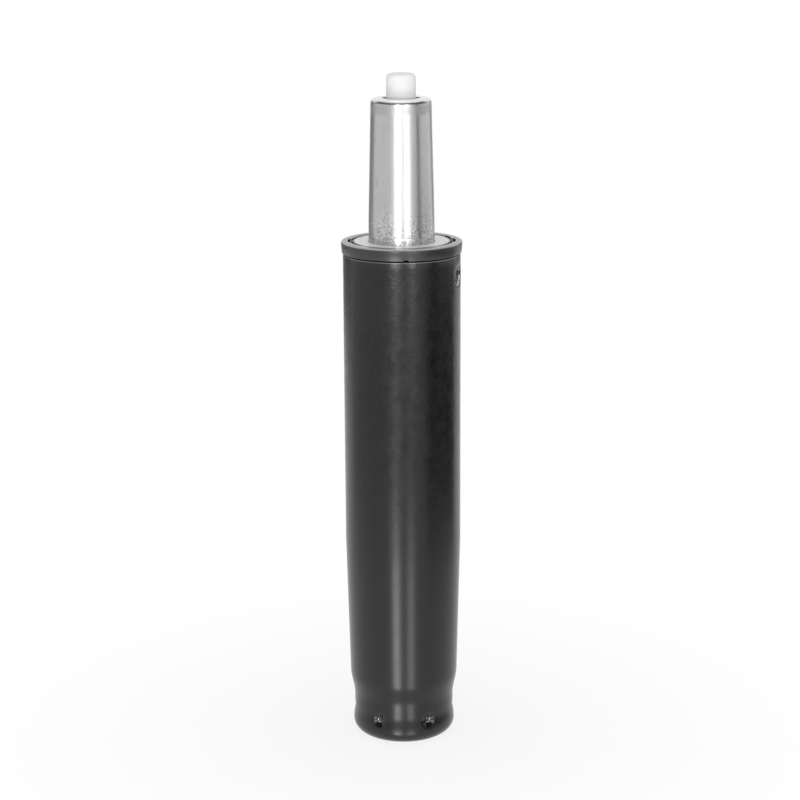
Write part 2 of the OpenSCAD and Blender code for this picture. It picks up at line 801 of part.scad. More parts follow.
// Pin that opens the valve when the button pushes it down
module release_pin() {
    head_z = valve_z - end_gap - release_head_h;
    color("silver")
        rotate_extrude()
            polygon([
                [0, head_z], [release_head_r, head_z], [release_head_r, valve_z - end_gap],
                [release_r, valve_z - end_gap], [release_r, waist_z],
                [waist_r, waist_z + release_waist], [waist_r, waist_top_z - release_waist],
                [release_r, waist_top_z],
                [release_r, button_z], [stem_r, button_z],
                [stem_r, stem_top_z], [0, stem_top_z]
            ]);
}

// Plastic cap of the release pin, pushed on its stem
module button_cap() {
    foot_chamfer = 0.5;
    color([0.93, 0.93, 0.92])
        rotate_extrude()
            polygon(concat(
                [[stem_r + push_fit, button_z], [button_d / 2 - foot_chamfer, button_z],
                 [button_d / 2, button_z + foot_chamfer]],
                arc(button_d / 2 - button_edge_r, button_top_z - button_edge_r, button_edge_r, 0, 90, 6),
                [[0, button_top_z], [0, stem_top_z], [stem_r + push_fit, stem_top_z]]));
}

column_tube();
top_collar();
guide_bushing();
base_cup();
bearing_lower_race();
bearing_cage();
bearing_balls();
bearing_upper_race();
bumper_seat();
rubber_bumper();
piston_rod();
piston();
piston_seal();
piston_nut();
rod_washer();
retaining_clip();
pressure_tube();
inner_tube();
rod_guide();
rod_seal();
seal_backing_ring();
valve_body();
valve_spacer();
valve_o_ring_upper();
valve_o_ring_lower();
pin_seal_upper();
pin_seal_lower();
release_pin();
button_cap();
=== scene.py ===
import math

import bpy
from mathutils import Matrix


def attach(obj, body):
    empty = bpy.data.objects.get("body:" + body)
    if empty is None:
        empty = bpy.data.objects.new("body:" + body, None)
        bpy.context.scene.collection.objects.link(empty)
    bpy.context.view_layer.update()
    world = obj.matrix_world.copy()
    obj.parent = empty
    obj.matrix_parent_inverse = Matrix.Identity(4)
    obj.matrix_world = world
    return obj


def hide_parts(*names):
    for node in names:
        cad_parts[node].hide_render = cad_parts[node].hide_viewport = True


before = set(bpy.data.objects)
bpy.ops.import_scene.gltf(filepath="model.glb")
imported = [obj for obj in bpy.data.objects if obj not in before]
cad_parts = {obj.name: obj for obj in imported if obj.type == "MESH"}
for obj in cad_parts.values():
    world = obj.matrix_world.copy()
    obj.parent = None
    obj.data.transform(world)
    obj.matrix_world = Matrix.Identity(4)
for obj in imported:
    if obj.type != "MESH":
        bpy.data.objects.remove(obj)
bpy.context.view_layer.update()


# The camera stands a little above the cylinder and looks down at it, as the photograph does.
# It leans by a third of a degree, because the photograph's cylinder does.
camera_data = bpy.data.cameras.new("camera")
camera_data.sensor_width = 36
camera_data.lens = 92.4
camera_data.clip_start = 0.05
camera_data.clip_end = 60
camera = bpy.data.objects.new("camera", camera_data)
camera.location = (0, -0.86, 0.36)
camera.rotation_euler = (math.radians(90 - 13.7), math.radians(0.29), 0)
bpy.context.scene.collection.objects.link(camera)
bpy.context.scene.camera = camera


# Column: a drawn steel tube, tapered below for the chair's base, then necked and rolled in at its
# foot. Six crimps round the neck lock the base cup in, and two side dents hold the guide bushing.
# It is powder-coated satin black, uneven above, and the punch has broken the coat in its marks.
mm = 0.001
column_r = 25 * mm
column_wall = 2 * mm
column_top = 215 * mm
top_bevel = 0.75 * mm
taper_end = 29 * mm
taper_top = 88.8 * mm
taper_end_r = 23.499 * mm
neck_r = 21.749 * mm
neck_low = 12.5 * mm
neck_high = 16.5 * mm
foot_out_r = 22.299 * mm
foot_roll = 5.4 * mm
crimp_height = 10.4 * mm
rolled_rim_r = 18.5 * mm
dent_height = 206 * mm
dent_rings_low = 200.5 * mm
dent_rings_high = 211.5 * mm
edge_band_drop = 0.72 * mm
smooth_below = 60 * mm
uneven_above = 170 * mm
turned_guide = 10 * mm
sharp_angle = math.radians(40)


def arc(radius, height, size, first, last, steps):
    """Points on a rounded edge of a turned profile."""
    turns = [math.radians(first + (last - first) * i / steps) for i in range(steps + 1)]
    return [(radius + size * math.cos(turn), height + size * math.sin(turn)) for turn in turns]


def ease(low_r, low, high_r, high, steps):
    """Points on a smooth S between two radii, without the first."""
    return [(low_r + (high_r - low_r) * (1 - math.cos(math.pi * i / steps)) / 2,
             low + (high - low) * i / steps) for i in range(1, steps + 1)]


def straight(low_r, low, high_r, high, steps):
    """Points on a straight stretch, without the first."""
    return [(low_r + (high_r - low_r) * i / steps, low + (high - low) * i / steps)
            for i in range(1, steps + 1)]


def column_side(inset, detail):
    """One side of the column's wall, from the foot to the top edge, with closer rings at the dents."""
    return (
        arc(foot_out_r - foot_roll, foot_roll, foot_roll - inset, -90, 0, 6 * detail)
        + ease(foot_out_r - inset, foot_roll, neck_r - inset, neck_low, 12 * detail)
        + straight(neck_r - inset, neck_low, neck_r - inset, neck_high, 5 * detail)
        + ease(neck_r - inset, neck_high, taper_end_r - inset, taper_end, 8 * detail)
        + straight(taper_end_r - inset, taper_end, column_r - inset, taper_top, 2 * detail)
        + straight(column_r - inset, taper_top, column_r - inset, dent_rings_low, detail)
        + straight(column_r - inset, dent_rings_low, column_r - inset, dent_rings_high, 12 * detail)
        + [(column_r - inset, column_top - top_bevel)]
    )


def math_node(tree, operation, *values):
    """One sum in a node tree, from sockets and plain numbers."""
    node = tree.nodes.new("ShaderNodeMath")
    node.operation = operation
    for place, value in enumerate(values):
        if isinstance(value, (int, float)):
            node.inputs[place].default_value = value
        else:
            tree.links.new(value, node.inputs[place])
    return node.outputs[0]


def length_node(tree, first, second):
    """The length across two sides at a right angle."""
    return math_node(tree, "SQRT", math_node(tree, "ADD", math_node(tree, "MULTIPLY", first, first),
                                             math_node(tree, "MULTIPLY", second, second)))


def sharp_edges(tree, geometry, limit):
    """Keeps those edges sharp that turn by more than a limit."""
    angle = tree.nodes.new("GeometryNodeInputMeshEdgeAngle")
    crease = tree.nodes.new("GeometryNodeSetShadeSmooth")
    crease.domain = "EDGE"
    crease.inputs["Shade Smooth"].default_value = False
    tree.links.new(geometry, crease.inputs["Geometry"])
    tree.links.new(math_node(tree, "GREATER_THAN", angle.outputs["Unsigned Angle"], limit),
                   crease.inputs["Selection"])
    return crease.outputs["Geometry"]


def end_tree(tree, geometry, material, result):
    """Ends a tree in one real mesh of one material."""
    realize = tree.nodes.new("GeometryNodeRealizeInstances")
    finish = tree.nodes.new("GeometryNodeSetMaterial")
    tree.links.new(geometry, realize.inputs["Geometry"])
    tree.links.new(realize.outputs["Geometry"], finish.inputs["Geometry"])
    tree.links.new(material, finish.inputs["Material"])
    tree.links.new(finish.outputs["Geometry"], result)


def turning_tree():
    """Geometry nodes that turn a drawn profile into a round piece."""
    tree = bpy.data.node_groups.new("turned_piece", "GeometryNodeTree")
    tree.interface.new_socket("Profile", in_out="INPUT", socket_type="NodeSocketGeometry")
    for name, kind in (("Segments", "NodeSocketInt"), ("Guide radius", "NodeSocketFloat"),
                       ("Sharp angle", "NodeSocketFloat"), ("Material", "NodeSocketMaterial")):
        tree.interface.new_socket(name, in_out="INPUT", socket_type=kind)
    tree.interface.new_socket("Piece", in_out="OUTPUT", socket_type="NodeSocketGeometry")
    given = tree.nodes.new("NodeGroupInput").outputs
    made = tree.nodes.new("NodeGroupOutput")
    path = tree.nodes.new("GeometryNodeCurvePrimitiveCircle")
    upright = tree.nodes.new("GeometryNodeSetCurveNormal")
    upright.mode = "Z_UP"
    outline = tree.nodes.new("GeometryNodeMeshToCurve")
    sweep = tree.nodes.new("GeometryNodeCurveToMesh")
    close = tree.nodes.new("GeometryNodeMergeByDistance")
    close.inputs["Distance"].default_value = 0.001 * mm
    smooth = tree.nodes.new("GeometryNodeSetShadeSmooth")
    link = tree.links.new
    link(given["Segments"], path.inputs["Resolution"])
    link(given["Guide radius"], path.inputs["Radius"])
    link(path.outputs["Curve"], upright.inputs["Curve"])
    link(given["Profile"], outline.inputs["Mesh"])
    link(upright.outputs["Curve"], sweep.inputs["Curve"])
    link(outline.outputs["Curve"], sweep.inputs["Profile Curve"])
    link(sweep.outputs["Mesh"], close.inputs["Geometry"])
    link(close.outputs["Geometry"], smooth.inputs["Geometry"])
    end_tree(tree, sharp_edges(tree, smooth.outputs["Geometry"], given["Sharp angle"]),
             given["Material"], made.inputs["Piece"])
    return tree


def set_input(modifier, name, value):
    """Fills one named input of a geometry nodes modifier."""
    for item in modifier.node_group.interface.items_tree:
        if item.item_type == "SOCKET" and item.in_out == "INPUT" and item.name == name:
            modifier[item.identifier] = value


def solid_from_nodes(piece):
    """Turns a piece's node modifiers into one plain mesh at the origin."""
    graph = bpy.context.evaluated_depsgraph_get()
    mesh = bpy.data.meshes.new_from_object(piece.evaluated_get(graph), depsgraph=graph)
    piece.modifiers.clear()
    piece.data = mesh
    mesh.name = piece.name


turned = turning_tree()


def turned_piece(name, outline, material, segments=192, closed=True, more=()):
    """Turns a closed outline, drawn from its foot up the outside, round the cylinder's axis."""
    drawn = outline[::-1]
    points = [(radius - turned_guide, -height, 0) for radius, height in drawn]
    edges = [(i, i + 1) for i in range(len(points) - 1)]
    if closed:
        edges.append((len(points) - 1, 0))
    mesh = bpy.data.meshes.new(name)
    mesh.from_pydata(points, edges, [])
    piece = bpy.data.objects.new(name, mesh)
    bpy.context.scene.collection.objects.link(piece)
    lathe = piece.modifiers.new("turned", "NODES")
    lathe.node_group = turned
    set_input(lathe, "Segments", segments)
    set_input(lathe, "Guide radius", turned_guide)
    set_input(lathe, "Sharp angle", sharp_angle)
    set_input(lathe, "Material", material)
    for tree, values in more:
        modifier = piece.modifiers.new(tree.name, "NODES")
        modifier.node_group = tree
        for key, value in values.items():
            set_input(modifier, key, value)
    solid_from_nodes(piece)
    return piece


def punching_tree():
    """Geometry nodes that push the crimps and the side dents into the column's wall."""
    tree = bpy.data.node_groups.new("punched_marks", "GeometryNodeTree")
    tree.interface.new_socket("Tube", in_out="INPUT", socket_type="NodeSocketGeometry")
    for name in ("Crimps", "First crimp", "Crimp height", "Dish width", "Dish depth", "Pit width",
                 "Pit depth", "Dent turn", "Dent height", "Dent width", "Dent length", "Dent depth",
                 "Crowding"):
        tree.interface.new_socket(name, in_out="INPUT", socket_type="NodeSocketFloat")
    tree.interface.new_socket("Material", in_out="INPUT", socket_type="NodeSocketMaterial")
    tree.interface.new_socket("Tube", in_out="OUTPUT", socket_type="NodeSocketGeometry")
    given = tree.nodes.new("NodeGroupInput").outputs
    made = tree.nodes.new("NodeGroupOutput")
    link = tree.links.new

    def polar():
        """Angle, radius and height of each point of the wall."""
        place = tree.nodes.new("GeometryNodeInputPosition")
        parts = tree.nodes.new("ShaderNodeSeparateXYZ")
        link(place.outputs[0], parts.inputs[0])
        angle = math_node(tree, "ARCTAN2", parts.outputs["Y"], parts.outputs["X"])
        return angle, length_node(tree, parts.outputs["X"], parts.outputs["Y"]), parts.outputs["Z"]

    def place_at(geometry, angle, radius, height):
        """Puts the points at new angles and radii."""
        join = tree.nodes.new("ShaderNodeCombineXYZ")
        link(math_node(tree, "MULTIPLY", radius, math_node(tree, "COSINE", angle)), join.inputs["X"])
        link(math_node(tree, "MULTIPLY", radius, math_node(tree, "SINE", angle)), join.inputs["Y"])
        link(height, join.inputs["Z"])
        move = tree.nodes.new("GeometryNodeSetPosition")
        link(geometry, move.inputs["Geometry"])
        link(join.outputs[0], move.inputs["Position"])
        return move.outputs["Geometry"]

    def ramp(value, first, last, start, end, curve="SMOOTHSTEP"):
        """Maps the range from first to last onto the one from start to end."""
        node = tree.nodes.new("ShaderNodeMapRange")
        node.interpolation_type = curve
        link(value, node.inputs["Value"])
        for name, number in (("From Min", first), ("From Max", last), ("To Min", start), ("To Max", end)):
            if isinstance(number, (int, float)):
                node.inputs[name].default_value = number
            else:
                link(number, node.inputs[name])
        return node.outputs["Result"]

    def bump(distance, width, sharpness):
        """One at the middle of a mark, falling smoothly to nothing at its edge."""
        return ramp(distance, math_node(tree, "MULTIPLY", width, 0.5 * sharpness),
                    math_node(tree, "MULTIPLY", width, 0.5), 1, 0, "SMOOTHERSTEP")

    def away(angle, middle, pitch):
        """Signed turn from the nearest of several equally spaced marks."""
        return math_node(tree, "WRAP", math_node(tree, "SUBTRACT", angle, middle),
                         math_node(tree, "MULTIPLY", pitch, 0.5), math_node(tree, "MULTIPLY", pitch, -0.5))

    # The wall's points crowd towards the crimps first, so that the small pits get enough of them.
    pitch = math_node(tree, "DIVIDE", 2 * math.pi, given["Crimps"])
    angle, radius, height = polar()
    crowd = math_node(tree, "MULTIPLY", given["Crowding"], math_node(tree, "SINE", math_node(
        tree, "MULTIPLY", given["Crimps"], math_node(tree, "SUBTRACT", angle, given["First crimp"]))))
    crowd = math_node(tree, "DIVIDE", crowd, given["Crimps"])
    crowded = place_at(given["Tube"], math_node(tree, "SUBTRACT", angle, crowd), radius, height)

    # A crimp is a wide shallow dish with a deep pit in its middle, and the rolled rim stays round.
    angle, radius, height = polar()
    across = math_node(tree, "MULTIPLY", away(angle, given["First crimp"], pitch), radius)
    rise = math_node(tree, "SUBTRACT", height, given["Crimp height"])
    reach = length_node(tree, across, rise)
    wall = math_node(tree, "GREATER_THAN", radius, rolled_rim_r)
    dish = math_node(tree, "MULTIPLY", bump(reach, given["Dish width"], 0.1), given["Dish depth"])
    pit = math_node(tree, "MULTIPLY", bump(reach, given["Pit width"], 0.45), given["Pit depth"])
    crimp = math_node(tree, "MULTIPLY", math_node(tree, "ADD", dish, pit), wall)

    # A side dent is a round hollow, a little longer than wide.
    half = math_node(tree, "MULTIPLY", math_node(
        tree, "SUBTRACT", given["Dent length"], given["Dent width"]), 0.5)
    side = math_node(tree, "MULTIPLY", away(angle, given["Dent turn"], math.pi), radius)
    above = math_node(tree, "ABSOLUTE", math_node(tree, "SUBTRACT", height, given["Dent height"]))
    above = math_node(tree, "MAXIMUM", math_node(tree, "SUBTRACT", above, half), 0)
    dent_reach = length_node(tree, side, above)
    out = math_node(tree, "DIVIDE", math_node(tree, "MULTIPLY", dent_reach, 2), given["Dent width"])
    hollow = math_node(tree, "SMOOTH_MAX", math_node(
        tree, "SUBTRACT", 1, math_node(tree, "MULTIPLY", out, out)), 0, 0.2)
    dent = math_node(tree, "MULTIPLY", hollow, given["Dent depth"])
    depth = math_node(tree, "ADD", crimp, dent)

    # The coat is broken round each pit and on the rim of each side dent. Round the pits the bare steel is
    # the punch's damage. On the dent's rim it is weighted to the lower side as a painted highlight of the
    # dent's lit crescent.
    pit_rim = math_node(tree, "MULTIPLY", given["Pit width"], 0.38)
    from_rim = math_node(tree, "ABSOLUTE", math_node(tree, "SUBTRACT", reach, pit_rim))
    scuff = ramp(math_node(tree, "DIVIDE", from_rim, given["Pit width"]), 0.05, 0.3, 1, 0)
    ring = ramp(math_node(tree, "ABSOLUTE", math_node(tree, "SUBTRACT", out, 0.8)), 0.05, 0.2, 1, 0)
    from_middle = math_node(tree, "SUBTRACT", height, given["Dent height"])
    lower = ramp(from_middle, -3 * mm, 4 * mm, 1.4, 0.5, "LINEAR")
    broken_coat_and_highlight = math_node(tree, "MAXIMUM", scuff, math_node(tree, "MULTIPLY", ring, lower))
    keep = tree.nodes.new("GeometryNodeCaptureAttribute")
    keep.capture_items.new("FLOAT", "Scuff")
    link(crowded, keep.inputs["Geometry"])
    link(broken_coat_and_highlight, keep.inputs["Scuff"])
    punched = place_at(keep.outputs["Geometry"], angle, math_node(tree, "SUBTRACT", radius, depth), height)
    store = tree.nodes.new("GeometryNodeStoreNamedAttribute")
    store.inputs["Name"].default_value = "scuff"
    link(punched, store.inputs["Geometry"])
    link(keep.outputs["Scuff"], store.inputs["Value"])
    end_tree(tree, store.outputs["Geometry"], given["Material"], made.inputs["Tube"])
    return tree


def surface(name, metallic=0.0):
    """Starts a material on the piece's own coordinates and returns its parts."""
    material = bpy.data.materials.new(name)
    material.use_nodes = True
    tree = material.node_tree
    shader = tree.nodes["Principled BSDF"]
    shader.inputs["Metallic"].default_value = metallic
    where = tree.nodes.new("ShaderNodeTexCoord")
    return material, tree, shader, where.outputs["Object"]


def grain(tree, where, size, detail=3, stretch=(1, 1, 1)):
    """Noise whose features are about this many millimetres across."""
    fit = tree.nodes.new("ShaderNodeMapping")
    fit.inputs["Scale"].default_value = stretch
    noise = tree.nodes.new("ShaderNodeTexNoise")
    noise.inputs["Scale"].default_value = 1 / (size * mm)
    noise.inputs["Detail"].default_value = detail
    tree.links.new(where, fit.inputs["Vector"])
    tree.links.new(fit.outputs["Vector"], noise.inputs["Vector"])
    return noise.outputs["Fac"]


def spread(tree, value, low, high, floor=0.3, ceiling=0.7):
    """Maps a noise or a distance, from floor to ceiling, onto low to high."""
    ramp = tree.nodes.new("ShaderNodeMapRange")
    tree.links.new(value, ramp.inputs["Value"])
    for name, number in (("From Min", floor), ("From Max", ceiling), ("To Min", low), ("To Max", high)):
        ramp.inputs[name].default_value = number
    return ramp.outputs["Result"]


def mix_colour(tree, factor, first, second):
    """Blends two colours by a mask. A mix node's colours are inputs 6 and 7 and output 2."""
    mix = tree.nodes.new("ShaderNodeMix")
    mix.data_type = "RGBA"
    tree.links.new(factor, mix.inputs["Factor"])
    for socket, colour in ((mix.inputs[6], first), (mix.inputs[7], second)):
        if isinstance(colour, tuple):
            socket.default_value = (*colour, 1)
        else:
            tree.links.new(colour, socket)
    return mix.outputs[2]


def raise_surface(tree, shader, height, depth, strength=1.0):
    """Bumps the surface by a height whose depth is in millimetres."""
    bump = tree.nodes.new("ShaderNodeBump")
    bump.inputs["Distance"].default_value = depth * mm
    bump.inputs["Strength"].default_value = strength
    tree.links.new(height, bump.inputs["Height"])
    tree.links.new(bump.outputs["Normal"], shader.inputs["Normal"])


def powder_coat():
    """Satin black powder coat, broken to bare steel by the punch. A thin band under the top edge turns
    partly to bare steel: partly wear, partly a painted highlight of the edge's light line.

    It is smooth near the foot and uneven higher up, with orange peel, soft waves and duller blotches.
    """
    material, tree, shader, where = surface("powder_coat")
    shader.inputs["IOR"].default_value = 1.48
    cloud = grain(tree, where, 6)
    peel = grain(tree, where, 0.55, 2)
    chips = grain(tree, where, 0.45, 4)
    parts = tree.nodes.new("ShaderNodeSeparateXYZ")
    tree.links.new(where, parts.inputs["Vector"])
    height = parts.outputs["Z"]

    # The scuff is bare steel broken by the punch, and on the dents' lower rims also a painted highlight.
    scuff = tree.nodes.new("ShaderNodeAttribute")
    scuff.attribute_name = "scuff"
    broken_coat_and_highlight = math_node(tree, "ADD", scuff.outputs["Fac"], spread(tree, chips, -0.5, 0.5, 0.38, 0.62))
    bare = spread(tree, broken_coat_and_highlight, 0, 1, 0.85, 1)
    # The band under the top edge is partly wear and partly a painted highlight of the light line under the
    # collar.
    edge = math_node(tree, "ABSOLUTE", math_node(tree, "SUBTRACT", height, column_top - edge_band_drop))
    edge_wear_and_highlight = spread(tree, edge, 0.3, 0, 0.05 * mm, 0.25 * mm)
    bare = math_node(tree, "MINIMUM", math_node(tree, "MAXIMUM", bare, edge_wear_and_highlight), 1)
    coat = mix_colour(tree, spread(tree, cloud, 0, 1), (0.004, 0.004, 0.0045), (0.006, 0.006, 0.0065))
    tree.links.new(mix_colour(tree, bare, coat, (0.62, 0.62, 0.63)), shader.inputs["Base Color"])
    tree.links.new(bare, shader.inputs["Metallic"])

    handled = spread(tree, height, 0.1, 1.3, smooth_below, uneven_above)
    blotches = spread(tree, grain(tree, where, 3, 4, (1, 1, 0.7)), -0.025, 0.045)
    dull = math_node(tree, "ADD", spread(tree, cloud, 0.24, 0.26),
                     math_node(tree, "MULTIPLY", blotches, handled))
    tree.links.new(dull, shader.inputs["Roughness"])
    waves = math_node(tree, "ADD", math_node(tree, "MULTIPLY", grain(tree, where, 3.5, 1, (1, 1, 0.6)), 4),
                      math_node(tree, "MULTIPLY", grain(tree, where, 1.3, 2), 2))
    uneven = math_node(tree, "ADD", math_node(tree, "MULTIPLY", peel, 0.35), waves)
    raise_surface(tree, shader, math_node(tree, "MULTIPLY", uneven, handled), 0.035, 0.4)
    return material


black_coat = powder_coat()
top_edge = [(column_r - inset * mm, column_top - drop * mm)
            for inset, drop in ((0.03, 0.6), (0.12, 0.4), (0.28, 0.2), (0.45, 0))]
top_edge.append((column_r - column_wall, column_top))
column = turned_piece(
    "column", column_side(0, 3) + top_edge + column_side(column_wall, 1)[::-1],
    black_coat, segments=400, more=[(punching_tree(), {
        "Crimps": 6.0, "First crimp": math.radians(-60), "Crimp height": crimp_height,
        "Dish width": 8.8 * mm, "Dish depth": 1.2 * mm, "Pit width": 2.5 * mm, "Pit depth": 1.5 * mm,
        "Dent turn": math.radians(-16), "Dent height": dent_height, "Dent width": 9.4 * mm,
        "Dent length": 9.8 * mm, "Dent depth": 1.8 * mm, "Crowding": 0.55,
        "Material": black_coat})])
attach(column, "column")
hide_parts("column_tube")


# Collar: a moulded plastic ring that caps the column's edge. Its skirt is pushed into the column,
# curved key slots in the seam inside it take the bushing's latches, and a notch in front frees it.
collar_r = 25.75 * mm
collar_low_r = 25.45 * mm
collar_top = 220 * mm
collar_bore = 21.9 * mm
collar_edge = 0.9 * mm
collar_low_edge = 0.4 * mm
bore_edge = 0.4 * mm
skirt_r = 22.9 * mm
skirt_low = 211.5 * mm
skirt_lead = 0.2 * mm
notch_height = 0.6 * mm
notch_shade_r = 25.2 * mm
slot_sharp_angle = 0.6


def slotting_tree():
    """Geometry nodes that cut the curved key slots and the pry notch into the collar."""
    tree = bpy.data.node_groups.new("key_slots", "GeometryNodeTree")
    tree.interface.new_socket("Ring", in_out="INPUT", socket_type="NodeSocketGeometry")
    for name in ("Slot radius", "Slot width", "Slot length", "Slot top", "Slot depth",
                 "Notch radius", "Notch width", "Notch height", "Notch bottom", "Notch turn"):
        tree.interface.new_socket(name, in_out="INPUT", socket_type="NodeSocketFloat")
    tree.interface.new_socket("Material", in_out="INPUT", socket_type="NodeSocketMaterial")
    tree.interface.new_socket("Ring", in_out="OUTPUT", socket_type="NodeSocketGeometry")
    given = tree.nodes.new("NodeGroupInput").outputs
    made = tree.nodes.new("NodeGroupOutput")
    cut = tree.nodes.new("GeometryNodeMeshBoolean")
    cut.operation = "DIFFERENCE"
    cut.solver = "EXACT"
    join = tree.nodes.new("GeometryNodeJoinGeometry")
    link = tree.links.new

    def curved_bar(middle, radius, length, across, tall, height):
        """A bar of rectangular section, bent round the axis, that cuts one slot."""
        sweep_angle = math_node(tree, "DIVIDE", length, radius)
        bend = tree.nodes.new("GeometryNodeCurveArc")
        bend.inputs["Resolution"].default_value = 9
        link(radius, bend.inputs["Radius"])
        link(math_node(tree, "SUBTRACT", middle, math_node(tree, "MULTIPLY", sweep_angle, 0.5)),
             bend.inputs["Start Angle"])
        link(sweep_angle, bend.inputs["Sweep Angle"])
        upright = tree.nodes.new("GeometryNodeSetCurveNormal")
        upright.mode = "Z_UP"
        section = tree.nodes.new("GeometryNodeCurvePrimitiveQuadrilateral")
        bar = tree.nodes.new("GeometryNodeCurveToMesh")
        bar.inputs["Fill Caps"].default_value = True
        place = tree.nodes.new("ShaderNodeCombineXYZ")
        move = tree.nodes.new("GeometryNodeTransform")
        link(across, section.inputs["Width"])
        link(tall, section.inputs["Height"])
        link(bend.outputs["Curve"], upright.inputs["Curve"])
        link(upright.outputs["Curve"], bar.inputs["Curve"])
        link(section.outputs["Curve"], bar.inputs["Profile Curve"])
        link(height, place.inputs["Z"])
        link(bar.outputs["Mesh"], move.inputs["Geometry"])
        link(place.outputs[0], move.inputs["Translation"])
        link(move.outputs["Geometry"], join.inputs["Geometry"])

    # Two long slots face each other, and a short narrow one is beside the first.
    for turn, length, across in ((0, 1, 1), (180, 1, 1), (27, 0.5, 0.75)):
        curved_bar(math.radians(turn), given["Slot radius"],
                   math_node(tree, "MULTIPLY", given["Slot length"], length),
                   math_node(tree, "MULTIPLY", given["Slot width"], across),
                   math_node(tree, "MULTIPLY", given["Slot depth"], 2), given["Slot top"])
    curved_bar(given["Notch turn"], given["Notch radius"], given["Notch width"], given["Notch width"],
               math_node(tree, "MULTIPLY", given["Notch height"], 2), given["Notch bottom"])
    link(given["Ring"], cut.inputs["Mesh 1"])
    link(join.outputs["Geometry"], cut.inputs["Mesh 2"])
    end_tree(tree, sharp_edges(tree, cut.outputs["Mesh"], slot_sharp_angle),
             given["Material"], made.inputs["Ring"])
    return tree


def moulded_plastic(name, base, roughness, tone=None, above=0, inside=1, hollow=None):
    """Moulded plastic with its tool's fine grain.

    tone is the colour above a height and inside a radius. hollow is a radius and a height: inside
    the one and under the other the colour is painted near black and matt, as painted shade in the pry notch.
    """
    material, tree, shader, where = surface(name)
    fine = grain(tree, where, 0.35, 2)
    cloud = grain(tree, where, 7)
    shade = tuple(channel * 0.8 for channel in base)
    colour = mix_colour(tree, spread(tree, cloud, 0, 1), shade, base)
    dull = spread(tree, cloud, roughness - 0.04, roughness + 0.04)
    if tone or hollow:
        parts = tree.nodes.new("ShaderNodeSeparateXYZ")
        tree.links.new(where, parts.inputs["Vector"])
        height = parts.outputs["Z"]
        reach = length_node(tree, parts.outputs["X"], parts.outputs["Y"])
    if tone:
        top_face = spread(tree, height, 0, 1, above - 0.2 * mm, above + 0.2 * mm)
        middle = spread(tree, reach, 1, 0, inside - 0.1 * mm, inside + 0.1 * mm)
        colour = mix_colour(tree, math_node(tree, "MULTIPLY", top_face, middle), colour, tone)
    # Inside the notch the colour is painted near black and its gloss taken away: painted shade.
    if hollow:
        unlit = math_node(tree, "MULTIPLY", math_node(tree, "LESS_THAN", reach, hollow[0]),
                          math_node(tree, "LESS_THAN", height, hollow[1]))
        colour = mix_colour(tree, unlit, colour, (0.001, 0.001, 0.001))
        dull = math_node(tree, "MAXIMUM", dull, unlit)
        tree.links.new(spread(tree, unlit, 0.5, 0), shader.inputs["Specular IOR Level"])
    tree.links.new(colour, shader.inputs["Base Color"])
    tree.links.new(dull, shader.inputs["Roughness"])
    raise_surface(tree, shader, fine, 0.006)
    return material


# The collar's top face above 219.5 mm is painted a lighter grey than its black band: a painted reflection of
# the bright backdrop on that face.
collar_black = moulded_plastic(
    "collar_plastic", (0.009, 0.009, 0.0095), 0.33, tone=(0.36, 0.36, 0.362), above=219.5 * mm,
    hollow=(notch_shade_r, column_top + notch_height + 0.05 * mm))
collar_black.node_tree.nodes["Principled BSDF"].inputs["IOR"].default_value = 1.7
collar = turned_piece(
    "collar",
    [(collar_bore, skirt_low + skirt_lead), (skirt_r - skirt_lead, skirt_low),
     (skirt_r, skirt_low + skirt_lead), (skirt_r, column_top),
     (collar_low_r - collar_low_edge, column_top),
     (collar_low_r - collar_low_edge / 4, column_top + collar_low_edge / 4),
     (collar_low_r, column_top + collar_low_edge)]
    + arc(collar_r - collar_edge, collar_top - collar_edge, collar_edge, 0, 90, 10)
    + arc(collar_bore + bore_edge, collar_top - bore_edge, bore_edge, 90, 180, 4),
    collar_black, more=[(slotting_tree(), {
        "Slot radius": collar_bore, "Slot width": 2 * mm, "Slot length": 9.5 * mm, "Slot top": collar_top,
        "Slot depth": 2.8 * mm, "Notch radius": 25.6 * mm, "Notch width": 2.2 * mm,
        "Notch height": notch_height, "Notch bottom": column_top, "Notch turn": math.radians(-86),
        "Material": collar_black})])
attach(collar, "column")
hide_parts("top_collar")


# Guide bushing: a long moulded sleeve in the column, in which the bright tube slides and turns.
# Ribs and rings stiffen it, and only its pale head shows, inside the collar. Only the head's top face inside
# 20.1 mm is pale. The dark grey on the rest, on the head's outer rim and in its seam groove and slots, is
# painted shade.
bushing_grey = moulded_plastic("bushing_plastic", (0.06, 0.06, 0.058), 0.34,
                               tone=(0.85, 0.85, 0.84), above=219.4 * mm, inside=20.1 * mm)
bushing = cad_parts["guide_bushing"]
bushing.data.materials.clear()
bushing.data.materials.append(bushing_grey)


# Pressure tube: bright drawn steel, ground along its length, with its upper end tapered for the
# seat's mechanism and both edges rolled in. It slides and turns in the bushing.
tube_r = 14 * mm
tube_wall = 1.5 * mm
tube_low = 30 * mm
tube_top = 280 * mm
tube_taper = 228.2 * mm
tube_top_r = 12.755 * mm
tube_roll = 2.2 * mm
tube_mouth = 8.1 * mm
tube_mouth_edge = 0.3 * mm
tube_foot_mouth = 8.5 * mm
tube_foot_land = 9.5 * mm
scored_height = 275.6 * mm
polish_low = 278.3 * mm
polish_high = 279.2 * mm


